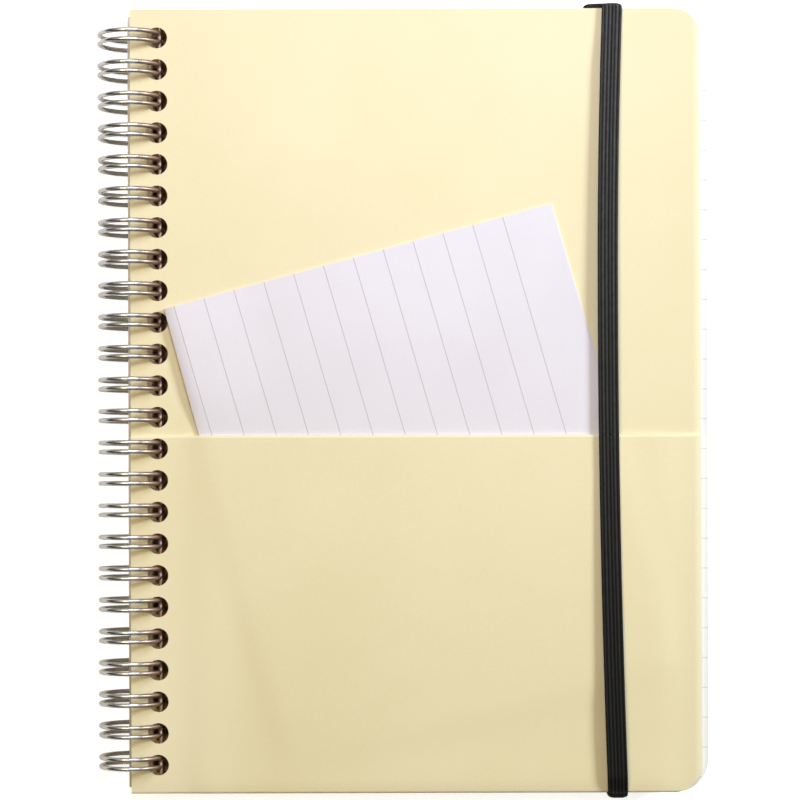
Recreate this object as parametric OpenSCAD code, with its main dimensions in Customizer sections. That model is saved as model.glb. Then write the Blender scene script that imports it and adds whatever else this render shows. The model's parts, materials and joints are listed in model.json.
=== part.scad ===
// Side-bound twin-wire notebook with a pocket card in front, an elastic band and a loose sheet.
// It lies on its back cover: +X runs from the wire to the open edge, +Y to the head, +Z up.
// Every piece is placed from the axis of the wire's rings, then moved so that z = 0 is the
// lowest point of the rings and the origin is the middle of the whole notebook.

/* [Wire] */
// Number of wire loops along the spine
loops = 24; // [12:1:24]
// Distance from one loop to the next, three loops to the inch
loop_pitch = 8.467; // [8:0.05:8.6]
// Radius of the ring, to the middle of the wire
ring_r = 8.45; // [8:0.05:9.5]
// Diameter of the wire
wire_d = 1.1; // [0.8:0.05:1.15]
// Distance between the two wires of a loop
wire_pair = 2.45; // [2.3:0.05:2.6]
// Radius of the bend from a loop into the flat between two loops
turn_r = 1.1; // [1:0.05:1.2]
// Wire left past the last bend at each end of the comb
wire_stub = 1; // [0.5:0.1:2]
// Free gap where the tip of a loop nests between the base turns
seam_clear = 0.06; // [0.04:0.01:0.1]

/* [Pocket card] */
// Width of the card, from its spine edge to its open edge
card_w = 152.7; // [140:0.1:160]
// Height of the card, of the leaves and of the back cover
page_h = 210; // [205:0.5:220]
// Radius of the two corners at the open edge
corner_r = 7.5; // [3:0.5:12]
// Diameter of the punched holes
hole_d = 5.6; // [5.2:0.1:6]
// From the spine edge of the card or cover to the middle of the holes
hole_edge = 7.2; // [6.5:0.1:8]
// Thickness of the card
card_ply = 0.4; // [0.25:0.05:0.5]
// Room between the two layers of the pocket
pocket_room = 0.6; // [0.55:0.05:0.8]
// Height of the pocket, from the folded foot to its open lip
pocket_h = 95.8; // [70:0.1:130]
// Width of the glued strip along the spine
spine_glue = 13.5; // [12:0.5:16]
// Width of the glued strip along the open edge
edge_glue = 4; // [3:0.5:8]
// Height of the underside of the card over the axis of the rings
card_z = 3.4; // [3.2:0.05:3.6]

/* [Leaves] */
// Width of a leaf
leaf_w = 153.4; // [140:0.1:160]
// From the spine edge of a leaf to the middle of its holes
leaf_hole_edge = 6.9; // [6.2:0.1:7.1]
// Thickness of the stack of leaves
stack_t = 9.1; // [7:0.1:9.6]
// Number of bundles into which the stack is stepped round the rings
bundles = 10; // [6:1:12]
// Width of the zone at the spine where the leaves are pressed under the wire's seam
press_w = 14; // [13:0.5:20]
// Width of the slope from that zone up to the full thickness
press_slope = 14; // [8:1:30]
// Free gap between the wire's seam and the leaves under it
press_clear = 0.2; // [0.15:0.05:0.4]

/* [Back cover] */
// Thickness of the back cover
cover_t = 0.7; // [0.5:0.05:1]
// Width of the back cover
cover_w = 152.7; // [140:0.1:160]
// Free gap between the last leaf and the back cover, so that the cover can turn
cover_clear = 0.3; // [0.2:0.05:0.5]

/* [Elastic band] */
// Width of the band
band_w = 5.4; // [4:0.1:8]
// Thickness of the band between its ribs
band_t = 0.7; // [0.5:0.05:1]
// Number of ribs along the band
band_ribs = 6; // [4:1:8]
// Height of the ribs over the grooves
rib_h = 0.3; // [0.2:0.05:0.4]
// Width of the groove between two ribs
groove_w = 0.3; // [0.2:0.05:0.4]
// From the open edge of the card to the middle of the band, at its straightest place
band_edge = 24.7; // [15:0.1:60]
// Height on the card of the band's straightest place
band_straight_y = 31; // [-60:1:60]
// How far the band has crept towards the open edge at the head
creep_head = 1.4; // [0:0.1:3]
// How far the band has crept towards the open edge at the foot
creep_foot = 2.35; // [0:0.05:4]
// How far the band slants towards the spine where it goes over the head
head_slant = 4.8; // [0:0.1:8]

/* [Loose sheet] */
// Width of the folded sheet
sheet_w = 107.5; // [80:0.5:110]
// Length of the folded sheet along its fold
sheet_len = 128; // [100:1:130]
// Thickness of the paper
sheet_ply = 0.15; // [0.1:0.01:0.2]
// Room between the two layers of the folded sheet
sheet_room = 0.2; // [0.1:0.01:0.2]
// Angle by which the sheet is turned in the pocket
sheet_turn = 14.8; // [10:0.1:18]
// From the spine edge of the card to the upper corner at the fold
sheet_in = 9.4; // [8:0.1:12]
// Height of that corner over the lip of the pocket
sheet_out = 33.5; // [28:0.1:40]
// How far the under layer stands out past the upper one
sheet_peek = 0.5; // [0:0.1:1.5]

/* [Hidden] */
$fn = 48;
wire_fn = 24;
knuckle_rise = 0.04;
stretch_gap = 0.08;
tip_rise = 0.17;
bundle_lap = 0.01;
slope_foot = 0.25;
slope_rise = 0.1;
past = 5;

// Where a layer at height z has to lie for its holes to thread on the rings
function ring_x(z) = sqrt(ring_r * ring_r - z * z);
function arc_deg(s) = s / ring_r * 180 / PI;
function loop_y(i) = (i - (loops - 1) / 2) * loop_pitch;

// Seam of the wire: the tips end just above the card's underside, the base turns lie below them
tip_a = asin((card_z + card_ply + tip_rise) / ring_r);
nest_y = wire_pair / 2 + turn_r;
turn_s = sqrt(pow(nest_y + wire_d + seam_clear, 2) - nest_y * nest_y);
turn_a = tip_a - arc_deg(turn_s);
flat_a = tip_a - arc_deg(turn_s - turn_r);
flat_len = loop_pitch - 2 * nest_y;
leg_sweep = 360 - tip_a + turn_a;

// Pocket card
card_t = 2 * card_ply + pocket_room;
card_top = card_z + card_t;
panel_top = card_z + card_ply;
card_hole_x = ring_x(card_z + card_t / 2);
card_left = card_hole_x - hole_edge;
card_right = card_left + card_w;
lip_y = pocket_h - page_h / 2;

// Leaves
leaf_bottom = card_z - stack_t;
press_z = ring_r * sin(flat_a) - wire_d / 2 - press_clear;
bundle_t = (press_z - leaf_bottom) / bundles;
leaf_right = ring_r - leaf_hole_edge + leaf_w;

// Back cover
cover_top = leaf_bottom - cover_clear;
cover_bottom = cover_top - cover_t;
cover_hole_x = ring_x(cover_top - cover_t / 2);

// Band
band_full = band_t + rib_h;
band_x = card_right - band_edge;
rib_w = (band_w - (band_ribs - 1) * groove_w) / band_ribs;
half_h = page_h / 2;
band_steps = 10;

// Loose sheet
sheet_t = 2 * sheet_ply + sheet_room;

// The whole notebook
ring_out = ring_r + wire_d / 2;
mid_x = (leaf_right - ring_out) / 2;

module from_rings() {
    translate([-mid_x, 0, ring_out]) children();
}

// Outline with square corners at the spine and round ones at the open edge
module page_outline(left, width) {
    translate([left, -half_h]) square([width - corner_r, page_h]);
    translate([left, corner_r - half_h]) square([width, page_h - 2 * corner_r]);
    for (side = [-1, 1])
        translate([left + width - corner_r, side * (half_h - corner_r)]) circle(r = corner_r);
}

module punch(x, low, high) {
    for (i = [0 : loops - 1])
        translate([x, loop_y(i), low]) cylinder(d = hole_d, h = high - low);
}

// Frame on the ring at angle a: X points out of the ring, Z along the wire
module at_ring(a) {
    rotate([0, -a, 0]) translate([ring_r, 0, 0]) children();
}

module wire_arc(r, sweep) {
    rotate_extrude(angle = sweep) translate([r, 0]) circle(d = wire_d, $fn = wire_fn);
}

module straight_wire(len) {
    rotate([-90, 0, 0]) cylinder(d = wire_d, h = len, $fn = wire_fn);
}

// Where two stretches meet at an odd angle, each stops short and a knuckle joins them
module knuckle() {
    rotate([0, 0, 45]) sphere(d = wire_d + 2 * knuckle_rise, $fn = wire_fn);
}

function gap_deg(r) = stretch_gap / r * 180 / PI;

// Base turns of one loop, its two rings and the wire that runs on to the next loop
module loop_base(flat) {
    for (side = [-1, 1])
        translate([-ring_r, side * wire_pair / 2, 0]) rotate([-90, 0, 0])
            wire_arc(ring_r, leg_sweep - gap_deg(ring_r));
    translate([0, nest_y, 0]) rotate([0, 90, 0]) rotate([0, 0, 180]) wire_arc(turn_r, 90);
    translate([0, nest_y, turn_r]) straight_wire(flat);
    translate([0, -nest_y, 0]) rotate([0, 90, 0]) rotate([0, 0, 90])
        wire_arc(turn_r, 90 - gap_deg(turn_r));
    translate([0, -nest_y, turn_r]) knuckle();
}

// Tip of one loop, bent back on itself
module loop_tip() {
    tip_gap = gap_deg(wire_pair / 2);
    rotate([0, 90, 0]) rotate([0, 0, tip_gap - 90]) wire_arc(wire_pair / 2, 180 - 2 * tip_gap);
    for (side = [-1, 1]) translate([0, side * wire_pair / 2, 0]) knuckle();
}

// One wire: a comb of fingers rolled into rings, the tips nested between the base turns
module twin_wire() {
    color("silver") from_rings() union() {
        for (i = [0 : loops - 1]) {
            at_ring(turn_a) translate([0, loop_y(i), 0])
                loop_base(i < loops - 1 ? flat_len - stretch_gap : wire_stub);
            at_ring(tip_a) translate([0, loop_y(i), 0]) loop_tip();
        }
        at_ring(turn_a) translate([0, loop_y(0) - nest_y - wire_stub, turn_r])
            straight_wire(wire_stub - stretch_gap);
    }
}

// Section of the folded card across its height, drawn with the head to the right
module card_section() {
    fold_y = card_t / 2 - half_h;
    translate([fold_y, card_z + card_t / 2]) circle(d = card_t);
    translate([fold_y, card_z]) square([lip_y - fold_y, card_t]);
    translate([fold_y, card_z]) square([half_h - fold_y, card_ply]);
}

module pocket_space() {
    fold_y = card_t / 2 - half_h;
    translate([fold_y, panel_top]) square([lip_y - fold_y + past, pocket_room]);
    translate([fold_y, panel_top + pocket_room / 2]) circle(d = pocket_room);
}

module along_x(from, to) {
    translate([from, 0, 0]) rotate([90, 0, 90]) linear_extrude(to - from) children();
}

// One card, folded up at the foot and glued along both sides
module pocket_card() {
    color("lemonchiffon") from_rings() difference() {
        intersection() {
            along_x(card_left, card_right) card_section();
            translate([0, 0, card_z - past])
                linear_extrude(card_t + 2 * past) page_outline(card_left, card_w);
        }
        along_x(card_left + spine_glue, card_right - edge_glue) pocket_space();
        punch(card_hole_x, card_z - past, card_top + past);
    }
}

module leaf_bundle(low, high) {
    hole_x = ring_x((low + high) / 2);
    translate([0, 0, low]) linear_extrude(high - low + bundle_lap) difference() {
        page_outline(hole_x - leaf_hole_edge, leaf_w);
        for (i = [0 : loops - 1]) translate([hole_x, loop_y(i)]) circle(d = hole_d);
    }
}

// Upper leaves, from the slope behind the wire's seam to the open edge
module crown_leaves() {
    crown_hole_x = ring_x((press_z + card_z) / 2);
    crown_t = card_z - press_z;
    intersection() {
        translate([0, 0, press_z]) linear_extrude(card_z - press_z)
            page_outline(crown_hole_x - leaf_hole_edge, leaf_w);
        translate([0, half_h + past, 0]) rotate([90, 0, 0]) linear_extrude(page_h + 2 * past)
            polygon([
                [press_w, press_z],
                [leaf_right + past, press_z],
                [leaf_right + past, card_z],
                [press_w + press_slope, card_z],
                [press_w + press_slope * (1 - slope_foot), card_z - crown_t * slope_rise],
                [press_w + press_slope * slope_foot, press_z + crown_t * slope_rise]
            ]);
    }
}

// The ruled leaves as one block, stepped round the rings in bundles
module leaf_block() {
    color("white") from_rings() union() {
        for (k = [0 : bundles - 1])
            leaf_bundle(leaf_bottom + k * bundle_t, leaf_bottom + (k + 1) * bundle_t);
        crown_leaves();
    }
}

module back_cover() {
    color("darkgray") from_rings() difference() {
        translate([0, 0, cover_bottom])
            linear_extrude(cover_t) page_outline(cover_hole_x - hole_edge, cover_w);
        punch(cover_hole_x, cover_bottom - past, cover_top + past);
    }
}

// Middle of the band on the front, at height y on the card
function front_x(y) = band_x + (y > band_straight_y
    ? creep_head * pow((y - band_straight_y) / (half_h - band_straight_y), 2)
    : creep_foot * pow((y - band_straight_y) / (half_h + band_straight_y), 2));

// Middle of the band on the back, straight from the slanted head to the foot
function back_x(y) = front_x(-half_h)
    + (front_x(half_h) - head_slant - front_x(-half_h)) * (y + half_h) / page_h;

function band_y(k) = -half_h - past + k * (page_h + past) / band_steps;
function front_side(side) = [for (k = [0 : band_steps]) [front_x(max(band_y(k), -half_h)) + side, band_y(k)]];
function back_side(side) = [for (k = [0 : band_steps]) [back_x(max(band_y(k), -half_h)) + side, band_y(k)]];
function turned(list) = [for (k = [len(list) - 1 : -1 : 0]) list[k]];

module front_strip(shift, width) {
    polygon(concat(front_side(shift - width / 2), turned(front_side(shift + width / 2))));
}

module back_strip(shift, width) {
    polygon(concat(back_side(shift - width / 2), turned(back_side(shift + width / 2))));
}

// What the band is stretched round, seen from the open edge with the head to the right
module wrapped_section() {
    polygon([
        [half_h, cover_bottom],
        [half_h, panel_top],
        [lip_y, card_top],
        [card_t / 4 - half_h, card_top],
        [-half_h, card_top - card_t / 4],
        [-half_h, cover_bottom]
    ]);
}

module band_section(thick) {
    difference() {
        offset(r = thick, $fn = 24) wrapped_section();
        wrapped_section();
    }
}

// A strip of the band: on the front, on the back and slanting over the head
module band_part(thick, shift, width) {
    low_x = back_x(half_h) + shift;
    high_x = front_x(half_h) + shift;
    low_z = cover_bottom - band_full;
    high_z = panel_top + band_full;
    intersection() {
        along_x(band_x - 4 * band_w, band_x + 4 * band_w) band_section(thick);
        union() {
            linear_extrude(card_top + past) front_strip(shift, width);
            translate([0, 0, cover_bottom - past])
                linear_extrude(past - cover_bottom) back_strip(shift, width);
            translate([0, half_h + past, 0]) rotate([90, 0, 0]) linear_extrude(past)
                polygon([
                    [low_x - width / 2, low_z],
                    [low_x + width / 2, low_z],
                    [high_x + width / 2, high_z],
                    [high_x - width / 2, high_z]
                ]);
        }
    }
}

// Closed loop of ribbed elastic round the whole notebook
module elastic_band() {
    color("dimgray") from_rings() union() {
        band_part(band_t, 0, band_w);
        for (k = [0 : band_ribs - 1])
            band_part(band_full, (k - (band_ribs - 1) / 2) * (rib_w + groove_w), rib_w);
    }
}

// Sheet folded once along its left side and slipped into the pocket at an angle
module loose_sheet() {
    fold_r = sheet_t / 2;
    color("ghostwhite") from_rings()
        translate([card_left + sheet_in, lip_y + sheet_out, panel_top])
            rotate([0, 0, sheet_turn]) translate([0, -sheet_len, 0]) difference() {
                union() {
                    translate([fold_r, 0, fold_r]) rotate([-90, 0, 0])
                        cylinder(r = fold_r, h = sheet_len);
                    translate([fold_r, 0, 0]) cube([sheet_w - fold_r, sheet_len, sheet_ply]);
                    translate([fold_r, 0, sheet_t - sheet_ply])
                        cube([sheet_w - fold_r - sheet_peek, sheet_len, sheet_ply]);
                }
                translate([fold_r, -past, fold_r]) rotate([-90, 0, 0])
                    cylinder(r = fold_r - sheet_ply, h = sheet_len + 2 * past);
                translate([fold_r, -past, sheet_ply])
                    cube([sheet_w, sheet_len + 2 * past, sheet_room]);
            }
}

twin_wire();
pocket_card();
leaf_block();
back_cover();
elastic_band();
loose_sheet();
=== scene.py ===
# %% [markdown]
# # A side-bound notebook with a pocket card
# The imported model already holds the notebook's construction: wire, card, leaves, cover, band and
# sheet. This lesson gives each of them the look of the real thing. It never moves those solids. It
# builds finer pieces in the same places and lets them stand for the solids.

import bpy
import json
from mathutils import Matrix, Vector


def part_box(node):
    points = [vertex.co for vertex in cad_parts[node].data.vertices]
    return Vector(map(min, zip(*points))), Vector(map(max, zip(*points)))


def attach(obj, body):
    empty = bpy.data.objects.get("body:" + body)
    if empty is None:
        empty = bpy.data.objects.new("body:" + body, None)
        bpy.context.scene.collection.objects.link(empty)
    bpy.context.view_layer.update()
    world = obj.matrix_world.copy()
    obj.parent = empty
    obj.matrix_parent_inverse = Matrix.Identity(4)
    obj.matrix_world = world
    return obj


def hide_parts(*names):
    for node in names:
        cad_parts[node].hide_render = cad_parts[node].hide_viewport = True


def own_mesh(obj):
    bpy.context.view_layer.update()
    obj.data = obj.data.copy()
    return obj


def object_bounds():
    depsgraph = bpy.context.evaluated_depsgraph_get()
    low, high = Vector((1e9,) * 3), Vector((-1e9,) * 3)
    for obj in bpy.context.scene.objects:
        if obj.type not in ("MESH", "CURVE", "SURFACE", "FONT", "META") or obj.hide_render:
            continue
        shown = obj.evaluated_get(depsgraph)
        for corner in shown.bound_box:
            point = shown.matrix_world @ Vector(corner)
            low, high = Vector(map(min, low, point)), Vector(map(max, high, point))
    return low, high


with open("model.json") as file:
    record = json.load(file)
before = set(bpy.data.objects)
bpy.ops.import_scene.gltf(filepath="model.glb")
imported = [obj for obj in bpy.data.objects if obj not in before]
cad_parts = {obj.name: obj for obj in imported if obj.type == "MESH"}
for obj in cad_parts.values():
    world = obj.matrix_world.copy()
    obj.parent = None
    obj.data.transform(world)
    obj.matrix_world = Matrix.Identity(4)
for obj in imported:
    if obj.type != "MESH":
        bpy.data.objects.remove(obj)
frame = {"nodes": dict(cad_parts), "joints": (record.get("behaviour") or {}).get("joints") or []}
cad_low, cad_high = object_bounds()
print("pieces in the frame:", ", ".join(sorted(frame["nodes"])))

# %% [markdown]
# ## Measures that every piece shares
# The covers turn on the middle of the wire's rings, so the first joint gives that line. The boxes
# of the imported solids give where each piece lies. Only what a box can't tell, such as the pitch of
# the holes, is written down here as a real size.

# %% Shared measures
import json
import math
import random

import bpy
from mathutils import Euler, Matrix, Vector

MM = 0.001
HAIR = 0.01 * MM
RINGS = Vector(frame["joints"][0]["pos_m"])
CARD_LOW, CARD_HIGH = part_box("pocket_card")
LEAF_LOW, LEAF_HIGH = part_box("leaf_block")
COVER_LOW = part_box("back_cover")[0]
LOOPS = 24
PITCH = 8.467 * MM
RING_R = 8.45 * MM
HOLE_D = 5.6 * MM
CORNER_R = 7.5 * MM
HALF_H = CARD_HIGH.y
PLY = 0.4 * MM
LIP_Y = -9.2 * MM


def ring_x(z):
    """Where a layer at height z lies, so that its holes thread on the rings."""
    return RINGS.x + math.sqrt(RING_R ** 2 - (z - RINGS.z) ** 2)


def smooth(t):
    """Eases from 0 to 1 as t goes from 0 to 1."""
    t = min(max(t, 0.0), 1.0)
    return t * t * (3 - 2 * t)


print(f"rings turn about x {RINGS.x / MM:.2f} mm, z {RINGS.z / MM:.2f} mm")

# %% [markdown]
# ## Small tools for modelling
# Each of Blender's operators acts on all that is selected. So a piece is first made the only
# selected one, and its points, edges or faces are picked by their place before an operator runs.

# %% Helpers for selecting and finishing


def take(obj):
    """Makes obj the only selected object, in object mode."""
    if bpy.context.mode != "OBJECT":
        bpy.ops.object.mode_set(mode="OBJECT")
    bpy.ops.object.select_all(action="DESELECT")
    if obj is not None:
        obj.select_set(True)
        bpy.context.view_layer.objects.active = obj
    return obj


def settle(obj):
    """Puts the object's place, turn and scale into its mesh."""
    take(obj)
    bpy.ops.object.transform_apply(location=True, rotation=True, scale=True)
    return obj


def pick(obj, kind, test):
    """Leaves obj in edit mode with the points, edges or faces that pass the test selected."""
    take(obj)
    kinds = ("points", "edges", "faces")
    bpy.context.tool_settings.mesh_select_mode = tuple(kind == name for name in kinds)
    mesh = obj.data
    for part in (mesh.vertices, mesh.edges, mesh.polygons):
        part.foreach_set("select", [False] * len(part))
    if kind == "points":
        for point in mesh.vertices:
            point.select = test(point.co)
    if kind == "edges":
        for edge in mesh.edges:
            edge.select = test(*(mesh.vertices[i].co for i in edge.vertices))
    if kind == "faces":
        for face in mesh.polygons:
            face.select = test(face.center, face.normal)
    bpy.ops.object.mode_set(mode="EDIT")


def modify(obj, kind, **settings):
    """Adds a modifier with these settings and applies it."""
    take(obj)
    bpy.ops.object.modifier_add(type=kind)
    modifier = obj.modifiers[-1]
    for name, value in settings.items():
        setattr(modifier, name, value)
    bpy.ops.object.modifier_apply(modifier=modifier.name)
    return obj


def flat_grid(name, columns, rows, low, high):
    """A flat grid between two corners at one height, with its place in its mesh."""
    take(None)
    bpy.ops.mesh.primitive_grid_add(x_subdivisions=columns, y_subdivisions=rows, size=1,
                                    location=(low + high) / 2)
    grid = bpy.context.object
    grid.name = name
    grid.scale = (high.x - low.x, high.y - low.y, 1)
    return settle(grid)


def bend(steps, angle, centre, axis):
    """Spins the picked edges round an axis, anticlockwise as seen from its tip."""
    bpy.ops.mesh.spin(steps=steps, angle=-angle, center=centre, axis=axis)


def copy_of(obj):
    """A copy of obj with its own mesh."""
    twin = obj.copy()
    twin.data = obj.data.copy()
    bpy.context.scene.collection.objects.link(twin)
    return twin


def face_outwards(obj):
    """Merges doubled points and turns every face the same way out."""
    pick(obj, "points", lambda p: True)
    bpy.ops.mesh.remove_doubles(threshold=HAIR / 10)
    bpy.ops.mesh.normals_make_consistent(inside=False)
    return take(obj)


def cut(obj, cutter, operation, folded=False):
    """Cuts obj with cutter, or keeps only what lies in it, and removes the cutter."""
    modify(obj, "BOOLEAN", object=cutter, operation=operation, solver="EXACT", use_self=folded)
    bpy.data.objects.remove(cutter)
    return obj


def report(obj):
    """Names the piece, counts its triangles and gives its size."""
    obj.data.calc_loop_triangles()
    size = " x ".join(f"{side / MM:.1f}" for side in obj.dimensions)
    print(f"{obj.name}: {len(obj.data.loop_triangles)} triangles, {size} mm")


# %% [markdown]
# ## The camera
# The photograph looks straight down on the closed notebook. One pixel is 0.2675 mm on the card,
# and the rings near the head and foot show how their far sides lean outwards. That lean gives a
# camera about 0.6 m above the card. The book lies a hair turned in the frame, so the camera rolls
# by as much.

# %% Camera over the notebook
EYE = Vector((-0.65, 0.2, 608)) * MM
LENS = 100.0
SENSOR = 36.0
ROLL = math.radians(-0.16)

camera_data = bpy.data.cameras.new("camera")
camera_data.lens = LENS
camera_data.sensor_width = SENSOR
camera_data.clip_start = 0.05
camera = bpy.data.objects.new("camera", camera_data)
camera.location = EYE
camera.rotation_euler = Euler((0, 0, ROLL))
bpy.context.scene.collection.objects.link(camera)
bpy.context.scene.camera = camera
print(f"camera {EYE.z:.3f} m up, {LENS:.0f} mm lens")

# %% [markdown]
# ## The twin wire
# On the real book one steel wire is bent into a comb of 24 fingers, and the comb is rolled into
# rings whose tips nest between the feet of the fingers. A bent wire is a small circle carried
# along a path of straights and arcs, so Spin can follow each bend exactly. One loop is made: half
# a flat, a turn, a ring, the tip, the ring back, a turn and half a flat. An Array then repeats it,
# and merging the copies' ends leaves one unbroken wire. Two cuts trim the comb's first and last
# flat. On a book in use the rings lean a little and the wire creeps, so its points are leant and
# slid at the end.

# %% Sizes of one loop
WIRE_D = 1.25 * MM
WIRE_R = (RINGS.x - cad_low.x) - WIRE_D / 2
WIRE_PAIR = 2.45 * MM
TURN_R = 1.1 * MM
TIP_ANGLE = math.radians(28.05)
TURN_ANGLE = math.radians(10.4)
WIRE_STUB = 1.0 * MM
WIRE_LEAN = 0.04
WIRE_CREEP = 0.5 * MM
WIRE_SIDES = 14
TURN_STEPS = 6
RING_STEPS = 64
TIP_STEPS = 10
WIRE_SMOOTH = math.radians(50)
FIRST_Y = -(LOOPS - 1) / 2 * PITCH
NEST_Y = WIRE_PAIR / 2 + TURN_R


def by_ring(angle, y, along=0.0):
    """A point on the ring at this angle, or a distance along its tangent from there."""
    c, s = math.cos(angle), math.sin(angle)
    return Vector((RINGS.x + WIRE_R * c - along * s, y, RINGS.z + WIRE_R * s + along * c))


def outward(angle):
    """The direction that points out of the ring at this angle."""
    return Vector((math.cos(angle), 0, math.sin(angle)))


def run_on(distance):
    """Carries the picked end of the wire on along the spine."""
    bpy.ops.mesh.extrude_region_move(TRANSFORM_OT_translate={"value": (0, distance, 0)})


# %% One loop, bent step by step
take(None)
bpy.ops.mesh.primitive_circle_add(
    vertices=WIRE_SIDES, radius=WIRE_D / 2, rotation=(math.pi / 2, 0, 0),
    location=by_ring(TURN_ANGLE, FIRST_Y - PITCH / 2, TURN_R))
wire = settle(bpy.context.object)
wire.name = "wire_comb"
pick(wire, "points", lambda p: True)
ring_sweep = 2 * math.pi - TIP_ANGLE + TURN_ANGLE
ring_middle = Vector((RINGS.x, FIRST_Y, RINGS.z))
run_on(PITCH / 2 - NEST_Y)
bend(TURN_STEPS, math.pi / 2, by_ring(TURN_ANGLE, FIRST_Y - NEST_Y), -outward(TURN_ANGLE))
bend(RING_STEPS, ring_sweep, ring_middle, Vector((0, 1, 0)))
bend(TIP_STEPS, math.pi, by_ring(TIP_ANGLE, FIRST_Y), outward(TIP_ANGLE))
bend(RING_STEPS, ring_sweep, ring_middle, Vector((0, -1, 0)))
bend(TURN_STEPS, math.pi / 2, by_ring(TURN_ANGLE, FIRST_Y + NEST_Y), -outward(TURN_ANGLE))
run_on(PITCH / 2 - NEST_Y)
take(wire)
ends = [p.co.y for p in wire.data.vertices if p.select]
print(f"the loop ends {(sum(ends) / len(ends) - FIRST_Y) / MM:.3f} mm past its middle")
report(wire)

# %% The whole comb
modify(wire, "ARRAY", fit_type="FIXED_COUNT", count=LOOPS, use_relative_offset=False,
       use_constant_offset=True, constant_offset_displace=(0, PITCH, 0),
       use_merge_vertices=True, merge_threshold=HAIR)
comb_end = -FIRST_Y + NEST_Y + WIRE_STUB
for side in (-1, 1):
    pick(wire, "points", lambda p: True)
    bpy.ops.mesh.bisect(plane_co=(0, side * comb_end, 0), plane_no=(0, side, 0),
                        use_fill=True, clear_outer=True)
face_outwards(wire)
for point in wire.data.vertices:
    to_foot = (HALF_H - point.co.y) / (2 * HALF_H)
    point.co.y += (point.co.z - RINGS.z) * WIRE_LEAN + WIRE_CREEP * to_foot
bpy.ops.object.shade_smooth_by_angle(angle=WIRE_SMOOTH)
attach(wire, "block")
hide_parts("twin_wire")
report(wire)

# %% [markdown]
# ## The leaves
# A pad of leaves is many sheets, each threaded on the rings, so the stack leans into an arc at the
# spine and its fore edge follows. One leaf is cut with round corners and a row of holes. It is
# then copied up the stack, and every copy is slid along to where its holes meet the rings. Near
# the spine the wire's seam presses the stack down, so the heights are squeezed there with a soft
# slope.

# %% Helpers for punched sheets
CORNER_STEPS = 10


def page_slab(left, right, low, high, corner=CORNER_R, spare=0.0):
    """A thin slab with the outline of a page: square at the spine, round at the open edge."""
    take(None)
    bpy.ops.mesh.primitive_cube_add(
        size=1, location=((left + right) / 2, 0, (low + high) / 2),
        scale=(right - left, 2 * (HALF_H + spare), high - low))
    slab = settle(bpy.context.object)
    pick(slab, "edges", lambda a, b: min(a.x, b.x) > right - HAIR and abs(a.z - b.z) > HAIR)
    bpy.ops.mesh.bevel(offset=corner, segments=CORNER_STEPS, affect="EDGES")
    return take(slab)


def punches(x, low, high, sides):
    """A row of pins, one for each hole."""
    take(None)
    bpy.ops.mesh.primitive_cylinder_add(vertices=sides, radius=HOLE_D / 2, depth=high - low,
                                        location=(x, FIRST_Y, (low + high) / 2))
    pins = settle(bpy.context.object)
    return modify(pins, "ARRAY", fit_type="FIXED_COUNT", count=LOOPS, use_relative_offset=False,
                  use_constant_offset=True, constant_offset_displace=(0, PITCH, 0))


# %% One leaf
LEAVES = 64
LEAF_W = 153.4 * MM
LEAF_HOLE_EDGE = 6.9 * MM
LEAF_SHARE = 0.88
LEAF_CORNER_R = 8.8 * MM
LEAF_HOLE_SIDES = 12
FACE, EDGE, WALL = range(3)
leaf_step = (LEAF_HIGH.z - LEAF_LOW.z) / LEAVES
leaf_left = ring_x(RINGS.z) - LEAF_HOLE_EDGE
leaf = page_slab(leaf_left, leaf_left + LEAF_W, 0, leaf_step * LEAF_SHARE, LEAF_CORNER_R)
cut(leaf, punches(leaf_left + LEAF_HOLE_EDGE, -MM, MM, LEAF_HOLE_SIDES), "DIFFERENCE")
for part in ("ruled_face", "leaf_edge", "punched_wall"):
    leaf.data.materials.append(bpy.data.materials.new(part))
for face in leaf.data.polygons:
    from_holes = abs(face.center.x - leaf_left - LEAF_HOLE_EDGE)
    punched = from_holes < HOLE_D / 2 and abs(face.center.y) < HALF_H - MM
    face.material_index = FACE if abs(face.normal.z) > 0.5 else WALL if punched else EDGE
report(leaf)

# %% The pressed stack
PRESS_TOP = 10.84 * MM
PRESS_FROM = 14 * MM
PRESS_RUN = 14 * MM
LEAF_PLAY = 0.12 * MM
LEAF_SEED = 7
SLOPE_CUTS = 6
press = (PRESS_TOP - LEAF_LOW.z) / (LEAF_HIGH.z - LEAF_LOW.z)


def squeezed(x, z):
    """The height of a leaf at x, pressed towards the foot of the stack near the spine."""
    share = smooth((x - RINGS.x - PRESS_FROM) / PRESS_RUN)
    return LEAF_LOW.z + (z - LEAF_LOW.z) * (press + (1 - press) * share)


for n in range(SLOPE_CUTS + 1):
    pick(leaf, "points", lambda p: True)
    bpy.ops.mesh.bisect(plane_co=(RINGS.x + PRESS_FROM + PRESS_RUN * n / SLOPE_CUTS, 0, 0),
                        plane_no=(1, 0, 0))
shake = random.Random(LEAF_SEED)
stack = []
for n in range(LEAVES):
    sheet = copy_of(leaf)
    height = LEAF_LOW.z + n * leaf_step
    threaded = ring_x(LEAF_LOW.z + n * leaf_step * press) - LEAF_HOLE_EDGE - leaf_left
    across = shake.uniform(-1, 0) * LEAF_PLAY
    along = shake.uniform(-0.5, 0.5) * LEAF_PLAY
    slide = Vector((threaded + across, along, 0))
    for point in sheet.data.vertices:
        point.co += slide
        point.co.z = squeezed(point.co.x, point.co.z + height)
    stack.append(sheet)
bpy.data.objects.remove(leaf)
take(stack[0])
for sheet in stack:
    sheet.select_set(True)
bpy.ops.object.join()
leaves = bpy.context.object
leaves.name = "ruled_leaves"
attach(leaves, "block")
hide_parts("leaf_block")
report(leaves)

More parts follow.
